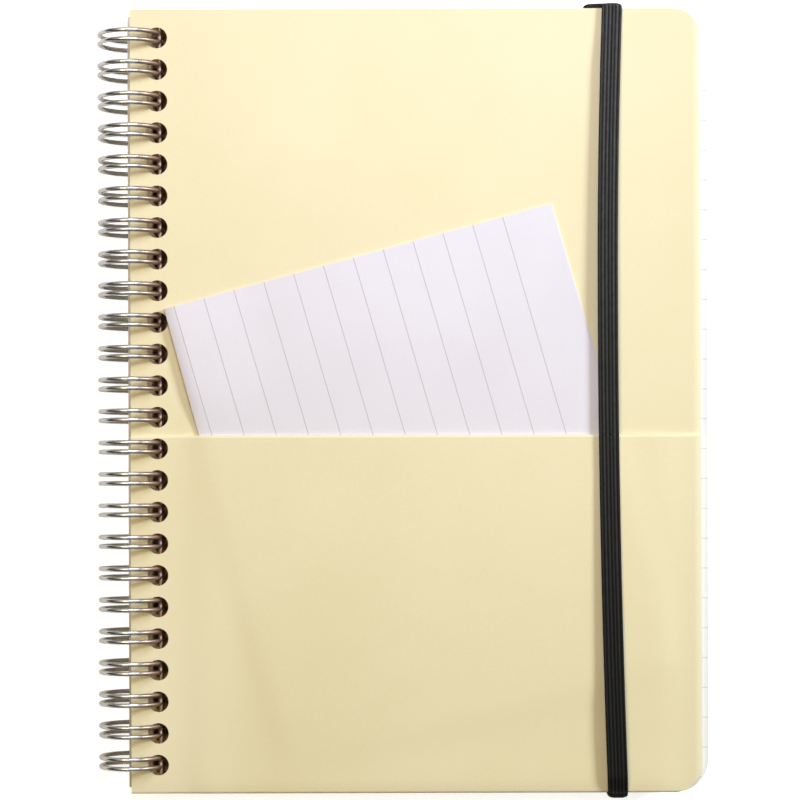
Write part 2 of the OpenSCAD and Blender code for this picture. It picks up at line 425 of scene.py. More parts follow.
# %% [markdown]
# ## The folded sheet in the pocket
# A sheet of writing paper is folded once along its left side and slipped in at a slant. It is a
# grid for the under layer, spun round the fold and drawn out again for the upper layer, then given
# the thickness of paper. It is made square to the axes first, since extruding is simple there, and
# is turned and moved to its place at the end. A paper that has been handled is never quite flat,
# so the upper layer gets a long, low wave, and its fold springs open where no pocket holds it
# down. It was folded by hand, so its open side and its printed lines lean a degree away from the
# fold.

# %% The sheet, folded flat and then turned
SHEET_W = 107.5 * MM
SHEET_LEN = 128 * MM
SHEET_PLY = 0.15 * MM
SHEET_PEEK = 0.5 * MM
SHEET_TURN = math.radians(15.1)
SHEET_WAVE = 0.1 * MM
SPRING = 1.8
SPRING_W = 26 * MM
SPRING_FROM = 36 * MM
SPRING_RUN = 13 * MM
SHEET_FAN = math.tan(math.radians(1.2))
FAN_TO = 55 * MM
SHEET_ROWS = 40
SHEET_COLUMNS = 34
SHEET_FOLD = 0.5 * MM
SHEET_FOLD_STEPS = 8
SHEET_SMOOTH = math.radians(40)
panel_top = CARD_LOW.z + PLY
SHEET_CORNER = Vector((CARD_LOW.x + 9.1 * MM, LIP_Y + 33.9 * MM, 0))
fold_z = panel_top + SHEET_FOLD / 2
fold_r = (SHEET_FOLD - SHEET_PLY) / 2


def sheet_place(point):
    """A point of the card, seen from the sheet's upper corner at the fold, along and down it."""
    away = Vector((point.x, point.y, 0)) - SHEET_CORNER
    return Matrix.Rotation(-SHEET_TURN, 3, "Z") @ away


letter = flat_grid(
    "folded_sheet", SHEET_COLUMNS, SHEET_ROWS,
    Vector((fold_r, -SHEET_LEN, fold_z - fold_r)), Vector((SHEET_W, 0, fold_z - fold_r)))
pick(letter, "points", lambda p: p.x < fold_r + HAIR)
bend(SHEET_FOLD_STEPS, math.pi, Vector((fold_r, 0, fold_z)), Vector((0, 1, 0)))
for n in range(SHEET_COLUMNS):
    step = (SHEET_W - SHEET_PEEK - fold_r) / SHEET_COLUMNS
    bpy.ops.mesh.extrude_region_move(TRANSFORM_OT_translate={"value": (step, 0, 0)})
face_outwards(letter)
for point in letter.data.vertices:
    if point.co.z > fold_z + fold_r - HAIR:
        across, down = point.co.x / SHEET_W, -point.co.y / SHEET_LEN
        wave = math.sin(3 * math.pi * across) * math.cos(2 * math.pi * down) * across
        point.co.z += SHEET_WAVE * wave
    sprung = smooth(1 - point.co.x / SPRING_W) * smooth((SPRING_FROM + point.co.y) / SPRING_RUN)
    point.co.z += (point.co.z - panel_top) * SPRING * sprung
    point.co.x += SHEET_FAN * point.co.x / SHEET_W * min(-point.co.y, FAN_TO)
letter.rotation_euler = Euler((0, 0, SHEET_TURN))
letter.location = SHEET_CORNER
settle(letter)
modify(letter, "SOLIDIFY", thickness=SHEET_PLY, offset=0, use_even_offset=True)
bpy.ops.object.shade_smooth_by_angle(angle=SHEET_SMOOTH)
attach(letter, "front")
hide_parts("loose_sheet")
report(letter)

# %% [markdown]
# ## The pocket card
# The front card and its pocket are one piece of card: it is folded up at the foot and glued along
# both sides. A grid is the panel, the fold is a half turn by Spin, and the pocket layer is drawn
# on up to the lip. The glued sides are pinched together, and the pocket settles round the sheet
# that it holds, so the sheet's outline shows through faintly. Thickness comes from Solidify. The
# corners and holes are cut last, through all layers at once, as a maker's die would.

# %% Card and pocket in one sheet
FOLD_R = (CARD_HIGH.z - CARD_LOW.z - PLY) / 2
FOLD_STEPS = 8
PANEL_COLUMNS = 60
PANEL_ROWS = 60
POCKET_ROWS = 32
SPARE = 1 * MM
panel_mid = CARD_LOW.z + PLY / 2
fold_y = CARD_LOW.y + FOLD_R + PLY / 2
card = flat_grid("folded_card", PANEL_COLUMNS, PANEL_ROWS,
                 Vector((CARD_LOW.x - SPARE, fold_y, panel_mid)),
                 Vector((CARD_HIGH.x + SPARE, HALF_H + SPARE, panel_mid)))
pick(card, "points", lambda p: p.y < fold_y + HAIR)
bend(FOLD_STEPS, math.pi, Vector((0, fold_y, panel_mid + FOLD_R)), Vector((-1, 0, 0)))
for n in range(POCKET_ROWS):
    bpy.ops.mesh.extrude_region_move(
        TRANSFORM_OT_translate={"value": (0, (LIP_Y - fold_y) / POCKET_ROWS, 0)})
face_outwards(card)
report(card)

# %% Pinch the glued sides and let the pocket settle round the sheet
SPINE_GLUE = 13.5 * MM
EDGE_GLUE = 4 * MM
GLUE_SLOPE = 7 * MM
GLUED_SHARE = 0.42
SETTLE = 0.28 * MM
SETTLE_RUN = 5 * MM
SETTLE_START = 0.8
GAPE = 0.25 * MM
GAPE_RUN = 14 * MM
band_low, band_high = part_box("elastic_band")
band_middle = (band_low.x + band_high.x) / 2


def free_share(x):
    """0 on the glued strips, 1 where the pocket is free."""
    from_spine = smooth((x - CARD_LOW.x - SPINE_GLUE) / GLUE_SLOPE)
    return from_spine * smooth((CARD_HIGH.x - EDGE_GLUE - x) / GLUE_SLOPE)


def over_sheet(point):
    """1 over the hidden part of the sheet, easing to 0 just past its outline."""
    place = sheet_place(point)
    inside = min(place.x, SHEET_W - place.x, SHEET_LEN + place.y)
    return smooth(inside / SETTLE_RUN + SETTLE_START)


def gape(point):
    """How far the lip stands open, between the spine and the band that holds it down."""
    t = (point.x - CARD_LOW.x - SPINE_GLUE) / (band_middle - CARD_LOW.x - SPINE_GLUE)
    wide = math.sin(math.pi * min(max(t, 0), 1)) ** 2
    return wide * smooth(1 - (LIP_Y - point.y) / GAPE_RUN)


for point in card.data.vertices:
    place = point.co
    if place.z > panel_mid + HAIR:
        free = free_share(place.x)
        sunk = (1 - over_sheet(place)) * SETTLE * smooth((place.y - fold_y) / GAPE_RUN)
        opened = GAPE * gape(place) if place.z > panel_mid + FOLD_R else 0
        place.z = panel_mid + (place.z - panel_mid) * (GLUED_SHARE + (1 - GLUED_SHARE) * free)
        place.z += (opened - sunk) * free
print(f"the pocket sinks by up to {SETTLE / MM:.2f} mm and gapes by up to {GAPE / MM:.2f} mm")

# %% Thickness, corners and holes
CARD_HOLE_EDGE = 7.2 * MM
CARD_HOLE_SIDES = 32
CARD_SMOOTH = math.radians(35)
pin_low, pin_high = CARD_LOW.z - 2 * SPARE, CARD_HIGH.z + 2 * SPARE
modify(card, "SOLIDIFY", thickness=PLY, offset=0, use_even_offset=True)
die = page_slab(CARD_LOW.x, CARD_HIGH.x, CARD_LOW.z - SPARE, CARD_HIGH.z + SPARE, spare=HAIR)
card_pins = punches(CARD_LOW.x + CARD_HOLE_EDGE, pin_low, pin_high, CARD_HOLE_SIDES)
cut(die, card_pins, "DIFFERENCE")
cut(card, die, "INTERSECT", folded=True)
take(card)
bpy.ops.object.shade_smooth_by_angle(angle=CARD_SMOOTH)
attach(card, "front")
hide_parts("pocket_card")
report(card)

# %% [markdown]
# ## The elastic band
# The closure is a woven elastic tape: covered rubber threads side by side make its ribs, and a
# thin weft crosses them. It is stretched round the book, so it runs straight from edge to edge and
# turns over each corner. A flat grid is added with one row for each half of a weft thread, and
# every point is then rolled to its place: its row says how far round the book it lies, and its
# column where on the ribbed section. Neighbouring ribs rise on alternate rows, which is the weave
# itself. The band stands a little off the card, least at the pocket's lip, and bulges where it
# turns over the edges.

# %% Path round the book
BAND_W = 5.4 * MM
BAND_T = 0.7 * MM
RIB_H = 0.3 * MM
RIBS = 6
GROOVE_W = 0.3 * MM
BAND_LIFT = 0.05 * MM
RISE_HEAD = 0.4 * MM
RISE_FOOT = 0.95 * MM
RISE_RUN_HEAD = 20 * MM
RISE_RUN_FOOT = 5 * MM
RISE_RUN_LIP = 40 * MM
CLOSE_TO = -20 * MM
ROW = 0.3 * MM
CORNER_ROWS = 8
BAND_EDGE = 24.95 * MM
STRAIGHT_Y = 31 * MM
CREEP_HEAD = 1.4 * MM
CREEP_FOOT = 2.35 * MM
HEAD_SLANT = 4.8 * MM
HEAD_TWIST = 1.3 * MM
FOLD_ROUND = (CARD_HIGH.z - CARD_LOW.z) / 4
band_corners = [
    Vector((HALF_H, COVER_LOW.z)),
    Vector((HALF_H, panel_top)),
    Vector((LIP_Y, CARD_HIGH.z)),
    Vector((FOLD_ROUND - HALF_H, CARD_HIGH.z)),
    Vector((-HALF_H, CARD_HIGH.z - FOLD_ROUND)),
    Vector((-HALF_H, COVER_LOW.z)),
]


def front_x(y):
    """Middle of the band on the front: straight, and crept towards the open edge at both ends."""
    reach = HALF_H - STRAIGHT_Y if y > STRAIGHT_Y else HALF_H + STRAIGHT_Y
    creep = CREEP_HEAD if y > STRAIGHT_Y else CREEP_FOOT
    return CARD_HIGH.x - BAND_EDGE + creep * ((y - STRAIGHT_Y) / reach) ** 2


def back_x(y):
    """Middle of the band on the back: straight from the slanted head to the foot."""
    head_x = front_x(HALF_H) - HEAD_SLANT
    foot_x = front_x(-HALF_H)
    return foot_x + (head_x - foot_x) * (y + HALF_H) / (2 * HALF_H)


def rise(y):
    """How far the band stands off the front: least at the lip, none where it turns over."""
    at_ends = smooth((HALF_H - y) / RISE_RUN_HEAD) * smooth((HALF_H + y) / RISE_RUN_FOOT)
    headward = RISE_HEAD * smooth((y - LIP_Y) / RISE_RUN_LIP)
    footward = RISE_FOOT * max(CLOSE_TO - y, 0.0) / (CLOSE_TO + HALF_H)
    return at_ends * (headward + footward)


def middle_x(y, z):
    """Middle of the band anywhere on its way round."""
    share = smooth(1 - (panel_top - z) / HEAD_TWIST) if y > LIP_Y else 1
    return back_x(y) + (front_x(y) - back_x(y)) * share


def band_rows():
    """Each row's place on the book's outline, and the way out of the book there."""
    rows = []
    count = len(band_corners)
    for n in range(count):
        here, there, after = (band_corners[(n + k) % count] for k in range(3))
        way = (there - here).normalized()
        next_way = (after - there).normalized()
        steps = max(round((there - here).length / ROW), 1)
        for k in range(steps):
            rows.append((here.lerp(there, k / steps), Vector((way.y, -way.x))))
        turn = way.angle_signed(next_way)
        fans = max(round(CORNER_ROWS * abs(turn) / (math.pi / 2)), 1)
        for k in range(fans):
            blend = way.lerp(next_way, k / fans).normalized()
            rows.append((there, Vector((blend.y, -blend.x))))
    return rows


rows = band_rows()
rows = rows[:len(rows) - len(rows) % 2]
print(f"the band has {len(rows)} rows")

# %% Ribbed section and the roll
RIB_POINTS = 4
RIB_ROUND = 0.6
SIDE_HIGH = 0.8
SIDE_LOW = 0.2
BACK_SHARE = 0.94
WEFT = 0.035 * MM
END_PUSH = 0.25 * MM
END_ROUND = 0.45 * MM
END_CURVE = 4
RIB_TONES = (0.45, 0.95, 0.8, 0.55, 1.0, 0.7)


def band_section():
    """Points over the ribbed face and back along the flat one: across, out, rib number."""
    rib_w = (BAND_W - (RIBS - 1) * GROOVE_W) / RIBS
    section = []
    for rib in range(RIBS):
        left = -BAND_W / 2 + rib * (rib_w + GROOVE_W)
        for k in range(RIB_POINTS):
            share = (k + 0.5) / RIB_POINTS
            top = BAND_T + RIB_H * math.sin(math.pi * share) ** RIB_ROUND
            section.append((left + rib_w * share, top, rib))
        if rib < RIBS - 1:
            section.append((left + rib_w + GROOVE_W / 2, BAND_T, None))
    half = BAND_W / 2
    right = [(half, BAND_T * SIDE_HIGH), (half, BAND_T * SIDE_LOW), (half * BACK_SHARE, 0)]
    left = [(-across, out) for across, out in reversed(right)]
    return section + [(across, out, None) for across, out in right + left]


section = band_section()
band = flat_grid("woven_band", len(section), len(rows), Vector((0, 0, 0)), Vector((1, 1, 0)))
# Each point's share of the painted sheen: most on a rib's top, none in the grooves, by the rib's
# tone.
tops = band.data.attributes.new("rib_top", "FLOAT", "POINT")
for point in band.data.vertices:
    column = round(point.co.x * len(section)) % len(section)
    row = round(point.co.y * len(rows)) % len(rows)
    across, out, rib = section[column]
    base, away = rows[row]
    at_end = abs(away.x)
    out += at_end * (BAND_T + RIB_H - out) if out >= BAND_T else 0
    from_middle = abs(across / BAND_W * 2)
    out += at_end * (END_PUSH - END_ROUND * from_middle ** END_CURVE) * out / BAND_T
    if rib is not None:
        out += WEFT * (1 - at_end) * (1 if (row + rib) % 2 else -1)
    lift = BAND_LIFT + (rise(base.x) if away.y > 0.5 else 0)
    place = base + away * (out + lift)
    point.co = Vector((middle_x(base.x, base.y) + across, place.x, place.y))
    if rib is not None:
        tops.data[point.index].value = RIB_TONES[rib] * (section[column][1] - BAND_T) / RIB_H
face_outwards(band)
bpy.ops.object.shade_smooth()
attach(band, "block")
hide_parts("elastic_band")
report(band)

# %% [markdown]
# ## Effects that several materials share
# Paper, card and board all show a little fibre, and both kinds of writing paper carry printed
# lines. Each effect is a node group with named inputs, made once and placed in every material that
# needs it. A group puts out only values that change over the surface, and the shader keeps the
# rest.

# %% Helpers for node trees


def node(tree, kind, **settings):
    """A new node with these settings. Names that are inputs get their value set."""
    made = tree.nodes.new(kind)
    for name, value in settings.items():
        if hasattr(made, name):
            setattr(made, name, value)
        else:
            made.inputs[name.replace("_", " ").title()].default_value = value
    return made


def maths(tree, operation, first, second=None):
    """A Math node on sockets or plain numbers, and its output."""
    made = node(tree, "ShaderNodeMath", operation=operation)
    for slot, value in zip(made.inputs, (first, second)):
        if isinstance(value, bpy.types.NodeSocket):
            tree.links.new(value, slot)
        elif value is not None:
            slot.default_value = value
    return made.outputs[0]


def ramp(tree, value, start, end, low=0.0, high=1.0):
    """Maps a value that goes from start to end onto low to high, easing at both ends."""
    made = node(tree, "ShaderNodeMapRange", interpolation_type="SMOOTHSTEP")
    tree.links.new(value, made.inputs["Value"])
    for name, number in (("From Min", start), ("From Max", end), ("To Min", low), ("To Max", high)):
        made.inputs[name].default_value = number
    return made.outputs["Result"]


def blend(tree, share, first, second):
    """A colour mixed from two colours or sockets."""
    made = node(tree, "ShaderNodeMix", data_type="RGBA")
    for name, value in (("Factor", share), ("A", first), ("B", second)):
        slot = next(s for s in made.inputs if s.name == name and s.enabled)
        if isinstance(value, bpy.types.NodeSocket):
            tree.links.new(value, slot)
        elif name == "Factor":
            slot.default_value = value
        else:
            slot.default_value = (*value, 1)
    return next(s for s in made.outputs if s.enabled)


def new_group(name, inputs, outputs):
    """An empty node group with number sockets, except that Place is a vector."""
    group = bpy.data.node_groups.new(name, "ShaderNodeTree")
    for title, value in inputs.items():
        kind = "NodeSocketVector" if title == "Place" else "NodeSocketFloat"
        made = group.interface.new_socket(title, in_out="INPUT", socket_type=kind)
        if title != "Place":
            made.default_value = value
    for title in outputs:
        group.interface.new_socket(title, in_out="OUTPUT", socket_type="NodeSocketFloat")
    return group, group.nodes.new("NodeGroupInput"), group.nodes.new("NodeGroupOutput")


def linear(red, green, blue):
    """A colour as it is read off a screen, from 0 to 255, in the values that shaders use."""
    return tuple((c / 255 / 12.92) if c < 10 else ((c / 255 + 0.055) / 1.055) ** 2.4
                 for c in (red, green, blue))


# %% Fibre: a soft cloud with fine flecks
fibre, given, gives = new_group(
    "fibre", {"Place": None, "Cloud": 60.0, "Fleck": 2500.0}, ["Tone", "Height"])
cloud = node(fibre, "ShaderNodeTexNoise", detail=3.0)
fleck = node(fibre, "ShaderNodeTexNoise", detail=2.0)
for texture, size in ((cloud, "Cloud"), (fleck, "Fleck")):
    fibre.links.new(given.outputs["Place"], texture.inputs["Vector"])
    fibre.links.new(given.outputs[size], texture.inputs["Scale"])
both = maths(fibre, "ADD", cloud.outputs["Fac"], fleck.outputs["Fac"])
fibre.links.new(maths(fibre, "MULTIPLY", both, 0.5), gives.inputs["Tone"])
fibre.links.new(fleck.outputs["Fac"], gives.inputs["Height"])

# %% Ruling: thin lines at an even pitch
ruling, given, gives = new_group(
    "ruling", {"Across": 0.0, "First": 0.0, "Last": 1.0, "Pitch": 0.008, "Width": 0.0003}, ["Line"])
beyond = maths(ruling, "SUBTRACT", given.outputs["Across"], given.outputs["First"])
half_pitch = maths(ruling, "MULTIPLY", given.outputs["Pitch"], 0.5)
near = maths(ruling, "PINGPONG", beyond, half_pitch)
share = maths(ruling, "DIVIDE", near, given.outputs["Width"])
line = ramp(ruling, share, 0.3, 0.7, 1.0, 0.0)
after_first = maths(ruling, "GREATER_THAN", beyond, maths(ruling, "MULTIPLY", half_pitch, -1.0))
before_last = maths(ruling, "LESS_THAN", given.outputs["Across"],
                    maths(ruling, "ADD", given.outputs["Last"], half_pitch))
kept = maths(ruling, "MULTIPLY", line, maths(ruling, "MULTIPLY", after_first, before_last))
ruling.links.new(kept, gives.inputs["Line"])
print("shared effects:", fibre.name, "and", ruling.name)

# %% [markdown]
# ## Finishes
# Every finish starts from the colour read off the photograph in plain light. Card, paper and board
# scatter light, so they are rough with a trace of bump. The card has a painted highlight at its lip
# and along its open edge, and painted light by the foot of the spine. The leaves have painted warm
# shade round their holes, and the walls of the holes are tan, a painted warm shade too. The board
# has painted light along its edge at the spine, weaker near the foot. The wire is bright plated
# steel, a metal whose look is what it mirrors. Towards its holes it is rougher, and its colour there
# is a painted warm reflection and shade. The elastic is dark thread with little shine. The tops of
# its ribs carry a painted sheen, each by its own tone and more so towards the head, which leaves
# painted shade in the grooves.

# %% Helper: a material with its usual nodes


class Finish:
    """A material, its tree and shader, and the piece's own coordinates."""

    def __init__(self, name):
        self.material = bpy.data.materials.get(name) or bpy.data.materials.new(name)
        self.material.use_nodes = True
        self.tree = self.material.node_tree
        self.shader = self.tree.nodes["Principled BSDF"]
        self.place = node(self.tree, "ShaderNodeTexCoord").outputs["Object"]
        self.x, self.y, self.z = self.split(self.place)

    def split(self, place):
        """The three numbers of a place."""
        parts = node(self.tree, "ShaderNodeSeparateXYZ")
        self.tree.links.new(place, parts.inputs[0])
        return parts.outputs

    def group(self, group, **values):
        """A shared effect with this material's own values."""
        made = node(self.tree, "ShaderNodeGroup", node_tree=group)
        for name, value in values.items():
            if isinstance(value, bpy.types.NodeSocket):
                self.tree.links.new(value, made.inputs[name])
            else:
                made.inputs[name].default_value = value
        return made.outputs

    def feed(self, socket, value):
        """Links a value to one of the shader's sockets, or sets it there."""
        if isinstance(value, bpy.types.NodeSocket):
            self.tree.links.new(value, self.shader.inputs[socket])
        else:
            self.shader.inputs[socket].default_value = value

    def bump(self, height, depth, strength=1.0):
        """Roughens the surface by height times depth."""
        made = node(self.tree, "ShaderNodeBump")
        made.inputs["Distance"].default_value = depth
        made.inputs["Strength"].default_value = strength
        self.tree.links.new(height, made.inputs["Height"])
        self.feed("Normal", made.outputs["Normal"])


def paint(obj, finish):
    """Gives the whole piece one finish."""
    obj.data.materials.clear()
    obj.data.materials.append(finish.material)
    print(f"{obj.name} has the finish {finish.material.name}")


# %% Cream card, with a painted highlight at lip and open edge and painted light near the spine's foot
CARD_DEEP = linear(235, 222, 177)
CARD_LIGHT = linear(239, 226, 183)
# Painted light: the pale colour of the highlight at the lip and open edge, and of the light by the
# spine
CARD_PAINTED_LIGHT = linear(255, 247, 212)
LIP_HIGHLIGHT_W = 0.4 * MM
LIP_SHARE = 0.75
SIDE_HIGHLIGHT_W = 2.4 * MM
SIDE_SHARE = 0.7
# Painted light by the foot of the spine, where the lamps leave the card darker.
SPINE_LIGHT_FROM = 12 * MM
SPINE_LIGHT_TO = 38 * MM
SPINE_LIGHT_SHARE = 0.4
cream = Finish("cream_card")
grain = cream.group(fibre, Place=cream.place, Cloud=35.0, Fleck=2200.0)
base = blend(cream.tree, ramp(cream.tree, grain["Tone"], 0.36, 0.64), CARD_DEEP, CARD_LIGHT)
# Painted highlight along the pocket's lip and along the card's open edge.
from_lip = maths(cream.tree, "SUBTRACT", cream.y, LIP_Y)
on_lip = ramp(cream.tree, from_lip, -2 * LIP_HIGHLIGHT_W, -LIP_HIGHLIGHT_W)
on_top = maths(cream.tree, "GREATER_THAN", cream.z, panel_top + 2 * HAIR)
lip = maths(cream.tree, "MULTIPLY", on_lip, on_top)
lip_highlight = maths(cream.tree, "MULTIPLY", lip, LIP_SHARE)
side_highlight = ramp(cream.tree, cream.x, CARD_HIGH.x - SIDE_HIGHLIGHT_W, CARD_HIGH.x, 0.0, SIDE_SHARE)
base = blend(cream.tree, maths(cream.tree, "MAXIMUM", lip_highlight, side_highlight), base, CARD_PAINTED_LIGHT)
# Painted light on the card towards the foot of the spine.
by_spine = ramp(cream.tree, cream.x, CARD_LOW.x + SPINE_LIGHT_FROM, CARD_LOW.x + SPINE_LIGHT_TO, SPINE_LIGHT_SHARE, 0.0)
by_foot = ramp(cream.tree, cream.y, -0.15 * HALF_H, -0.8 * HALF_H)
base = blend(cream.tree, maths(cream.tree, "MULTIPLY", by_spine, by_foot), base, CARD_PAINTED_LIGHT)
cream.feed("Base Color", base)
cream.feed("Roughness", 0.62)
cream.feed("Specular IOR Level", 0.35)
cream.bump(grain["Height"], 0.004 * MM, 0.3)
paint(card, cream)

# %% Ruled leaves: printed faces and cut edges
LEAF_WHITE = linear(238, 237, 232)
LEAF_LINE = linear(214, 213, 208)
LEAF_LINE_W = 0.28 * MM
# Painted warm shade round the holes, where the card above shades the top leaf.
HOLE_SHADE_TAN = linear(214, 188, 142)
HOLE_SHADE_FROM = 0.5 * MM
HOLE_SHADE_TO = 1.4 * MM
EDGE_LIGHT = linear(246, 245, 240)
EDGE_DARK = linear(206, 203, 196)
STREAK_SCALE = (60, 60, 9000)
RULE_PITCH = 8.0 * MM
RULE_LOW = -101.05 * MM
RULE_HIGH = 82.95 * MM
faces = Finish("ruled_face")
grain = faces.group(fibre, Place=faces.place, Cloud=80.0, Fleck=3000.0)
line = faces.group(ruling, Across=faces.y, First=RULE_LOW, Last=RULE_HIGH, Pitch=RULE_PITCH,
                   Width=LEAF_LINE_W)["Line"]
# Distance from the nearest hole, for the painted shade round it.
across = maths(faces.tree, "SUBTRACT", faces.x, ring_x(PRESS_TOP))
from_first = maths(faces.tree, "SUBTRACT", faces.y, FIRST_Y)
along = maths(faces.tree, "PINGPONG", from_first, PITCH / 2)
squares = [maths(faces.tree, "POWER", value, 2.0) for value in (across, along)]
from_hole = maths(faces.tree, "SQRT", maths(faces.tree, "ADD", *squares))
hole_shade = ramp(faces.tree, from_hole, HOLE_D / 2 + HOLE_SHADE_FROM, HOLE_D / 2 + HOLE_SHADE_TO, 1.0, 0.0)
row_end = -FIRST_Y + HOLE_D / 2 + HOLE_SHADE_TO
in_row = maths(faces.tree, "LESS_THAN", maths(faces.tree, "ABSOLUTE", faces.y), row_end)
printed = blend(faces.tree, line, LEAF_WHITE, LEAF_LINE)
hole_shade = maths(faces.tree, "MULTIPLY", hole_shade, in_row)
faces.feed("Base Color", blend(faces.tree, hole_shade, printed, HOLE_SHADE_TAN))
faces.feed("Roughness", ramp(faces.tree, grain["Tone"], 0.3, 0.7, 0.68, 0.8))
faces.bump(grain["Height"], 0.006 * MM, 0.4)
edges = Finish("leaf_edge")
streak = node(edges.tree, "ShaderNodeTexNoise", detail=3.0)
flattened = node(edges.tree, "ShaderNodeMapping", vector_type="POINT")
flattened.inputs["Scale"].default_value = STREAK_SCALE
edges.tree.links.new(edges.place, flattened.inputs["Vector"])
edges.tree.links.new(flattened.outputs[0], streak.inputs["Vector"])
streak.inputs["Scale"].default_value = 1.0
tone = ramp(edges.tree, streak.outputs["Fac"], 0.35, 0.65)
edges.feed("Base Color", blend(edges.tree, tone, EDGE_DARK, EDGE_LIGHT))
edges.feed("Roughness", 0.8)
# The walls of the holes are tan, a painted warm shade for the dim bounced light inside them.
WALL_DARK = linear(222, 178, 146)
WALL_LIGHT = linear(244, 208, 178)
walls = Finish("punched_wall")
grain = walls.group(fibre, Place=walls.place, Cloud=400.0, Fleck=4000.0)
tone = ramp(walls.tree, grain["Tone"], 0.35, 0.65)
walls.feed("Base Color", blend(walls.tree, tone, WALL_DARK, WALL_LIGHT))
walls.feed("Roughness", 0.85)
print("the leaves have the finishes", ", ".join(m.name for m in leaves.data.materials))

# %% Sheet of writing paper, ruled along its length
SHEET_WHITE = linear(231, 225, 227)
SHEET_SHADE = linear(225, 219, 220)
SHEET_LINE = linear(190, 183, 180)
SHEET_LINE_W = 0.22 * MM
RULE_TURN = math.radians(16.2)
SHEET_MARGIN = 2.75 * MM
SHEET_PITCH = 8.28 * MM
SHEET_LINES = 12
paper = Finish("sheet_paper")
turned = node(paper.tree, "ShaderNodeMapping", vector_type="TEXTURE")
turned.inputs["Location"].default_value = SHEET_CORNER
turned.inputs["Rotation"].default_value = (0, 0, RULE_TURN)
paper.tree.links.new(paper.place, turned.inputs["Vector"])
line = paper.group(ruling, Across=paper.split(turned.outputs[0])[0], First=SHEET_MARGIN,
                   Last=SHEET_MARGIN + (SHEET_LINES - 1) * SHEET_PITCH, Pitch=SHEET_PITCH,
                   Width=SHEET_LINE_W)["Line"]
grain = paper.group(fibre, Place=paper.place, Cloud=30.0, Fleck=3000.0)
base = blend(paper.tree, ramp(paper.tree, grain["Tone"], 0.35, 0.65), SHEET_SHADE, SHEET_WHITE)
paper.feed("Base Color", blend(paper.tree, line, base, SHEET_LINE))
paper.feed("Roughness", 0.7)
paper.bump(grain["Height"], 0.006 * MM, 0.4)
paint(letter, paper)

# %% Grey board of the back cover
BOARD_DARK = linear(182, 171, 164)
BOARD_LIGHT = linear(208, 198, 190)
# Painted light on a strip along the board's edge at the spine, weaker near the foot.
BOARD_PAINTED_LIGHT = linear(250, 243, 241)
EDGE_FROM = 1.0 * MM
EDGE_TO = 1.6 * MM
board = Finish("grey_board")
grain = board.group(fibre, Place=board.place, Cloud=120.0, Fleck=1600.0)
plain = blend(board.tree, ramp(board.tree, grain["Tone"], 0.38, 0.62), BOARD_DARK, BOARD_LIGHT)
at_spine = ramp(board.tree, board.x, COVER_LOW.x + EDGE_FROM, COVER_LOW.x + EDGE_TO, 1.0, 0.0)
above_foot = ramp(board.tree, board.y, -0.8 * HALF_H, -0.5 * HALF_H, 0.5, 1.0)
pale = maths(board.tree, "MULTIPLY", at_spine, above_foot)
board.feed("Base Color", blend(board.tree, pale, plain, BOARD_PAINTED_LIGHT))
board.feed("Roughness", 0.78)
board.bump(grain["Height"], 0.02 * MM, 0.5)
paint(frame["nodes"]["back_cover"], board)

# %% Bright plated wire
STEEL = linear(206, 204, 199)
# Painted warm reflection and shade: towards the holes the wire's colour turns brown.
STEEL_SHADED_REFLECTION = linear(140, 116, 100)
DULL_SHADE_FROM = RINGS.x - 0.5 * MM
DULL_SHADE_TO = RINGS.x + 6.6 * MM
DULL_ROUGH = 0.5
DRAWN_SCALE = 900.0
steel = Finish("plated_wire")
drawn = node(steel.tree, "ShaderNodeTexNoise", detail=2.0)
drawn.inputs["Scale"].default_value = DRAWN_SCALE
steel.tree.links.new(steel.place, drawn.inputs["Vector"])
# One mask for the painted reflection and shade in the colour and for the rougher surface.
dull_and_shaded = ramp(steel.tree, steel.x, DULL_SHADE_FROM, DULL_SHADE_TO)
steel.feed("Base Color", blend(steel.tree, dull_and_shaded, STEEL, STEEL_SHADED_REFLECTION))
steel.feed("Metallic", 1.0)
rough = ramp(steel.tree, drawn.outputs["Fac"], 0.3, 0.7, 0.17, 0.27)
dull_rough = maths(steel.tree, "MULTIPLY", dull_and_shaded, DULL_ROUGH)
steel.feed("Roughness", maths(steel.tree, "MAXIMUM", rough, dull_rough))
paint(wire, steel)

# %% Woven elastic
# The paler colour is a painted sheen on the rib tops; the dark grooves between are painted shade.
THREAD_DARK = (0.003, 0.003, 0.003)
THREAD_SHEEN = (0.085, 0.084, 0.073)
SHEEN_AT_FOOT = 0.14
elastic = Finish("woven_elastic")
thread = elastic.group(fibre, Place=elastic.place, Cloud=700.0, Fleck=5000.0)
rib_top = node(elastic.tree, "ShaderNodeAttribute", attribute_name="rib_top").outputs["Fac"]
# The painted sheen grows stronger towards the head.
sheen_to_head = ramp(elastic.tree, elastic.y, -HALF_H, HALF_H, SHEEN_AT_FOOT, 1.0)
patchy = ramp(elastic.tree, thread["Tone"], 0.3, 0.6, 0.5, 1.0)
sheen_on_tops = maths(elastic.tree, "MULTIPLY", maths(elastic.tree, "MULTIPLY", rib_top, patchy), sheen_to_head)
elastic.feed("Base Color", blend(elastic.tree, sheen_on_tops, THREAD_DARK, THREAD_SHEEN))
elastic.feed("Roughness", 0.55)
elastic.feed("Specular IOR Level", 0.12)
elastic.bump(thread["Height"], 0.04 * MM, 0.6)
paint(band, elastic)
print("finishes:", ", ".join(m.name for m in bpy.data.materials if m.users))

# %% [markdown]
# ## Floor, light and background
# The photograph is cut out on white. Its key light is cool and low, from the right. A small one
# comes from beyond the head, a warm one from the left gives the wire its glint, and a warm sky
# fills the shadows. The lamps are kept at the level where a colour renders as it is written. The
# white comes from the floor and the world being bright to the camera alone, or dimmer in metal, so
# no extra light falls on the book. The floor doesn't glow under the row of holes, so that no white
# shows through them.

